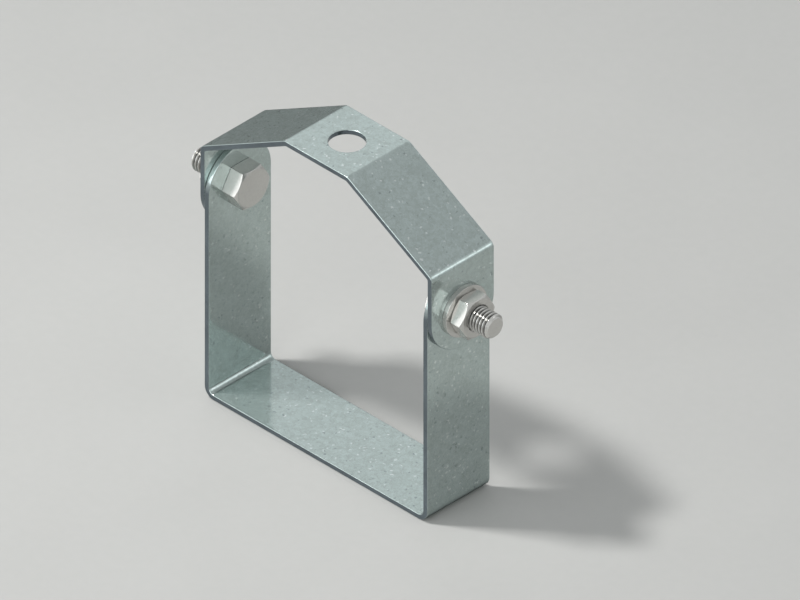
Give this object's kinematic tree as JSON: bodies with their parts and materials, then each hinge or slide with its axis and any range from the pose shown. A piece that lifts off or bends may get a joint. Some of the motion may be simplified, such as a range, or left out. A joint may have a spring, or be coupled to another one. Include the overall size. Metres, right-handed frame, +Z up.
{
  "type": "pipe hanger clamp",
  "caption": "Square-bottomed steel strap and folded top yoke with a rod hole, joined by hexagon bolts, to hang a horizontal pipe from a threaded rod.",
  "frame": {"origin": "middle of the strap's flat underside, where it stands", "axes": "+Z up towards the rod hole, X from leg to leg along the bolts, Y across the strip's width"},
  "size_m": [0.1514, 0.032, 0.1328],
  "materials": {
    "galvanised_strip": "hot-dip galvanised, semi-gloss with fine spangle",
    "zinc_plated_steel": "bright zinc plated"
  },
  "bodies": {
    "strap": {"lower_strap": "galvanised_strip"},
    "yoke": {"upper_yoke": "galvanised_strip", "left_washer": "zinc_plated_steel", "right_washer": "zinc_plated_steel"},
    "left_bolt": {"left_bolt": "zinc_plated_steel"},
    "right_bolt": {"right_bolt": "zinc_plated_steel"},
    "left_nut": {"left_nut": "zinc_plated_steel"},
    "right_nut": {"right_nut": "zinc_plated_steel"}
  },
  "joints": [
    {"name": "yoke_swing", "type": "hinge", "parent": "strap", "child": "yoke", "pos_m": [0, 0, 0.088], "axis": [1, 0, 0], "range_deg": [-100, 100]},
    {"name": "left_bolt_turn", "type": "hinge", "parent": "strap", "child": "left_bolt", "pos_m": [-0.0547, 0, 0.088], "axis": [1, 0, 0], "range_deg": [0, 1440]},
    {"name": "right_bolt_turn", "type": "hinge", "parent": "strap", "child": "right_bolt", "pos_m": [0.0547, 0, 0.088], "axis": [-1, 0, 0], "range_deg": [0, 1440]},
    {"name": "left_nut_travel", "type": "slide", "parent": "strap", "child": "left_nut", "axis": [-1, 0, 0], "range_m": [0, 0.006]},
    {"name": "right_nut_travel", "type": "slide", "parent": "strap", "child": "right_nut", "axis": [1, 0, 0], "range_m": [0, 0.006]}
  ],
  "couplings": [
    {"joint": "left_nut_travel", "follows": "left_bolt_turn", "m_per_rad": 0.00023873},
    {"joint": "right_nut_travel", "follows": "right_bolt_turn", "m_per_rad": 0.00023873}
  ]
}
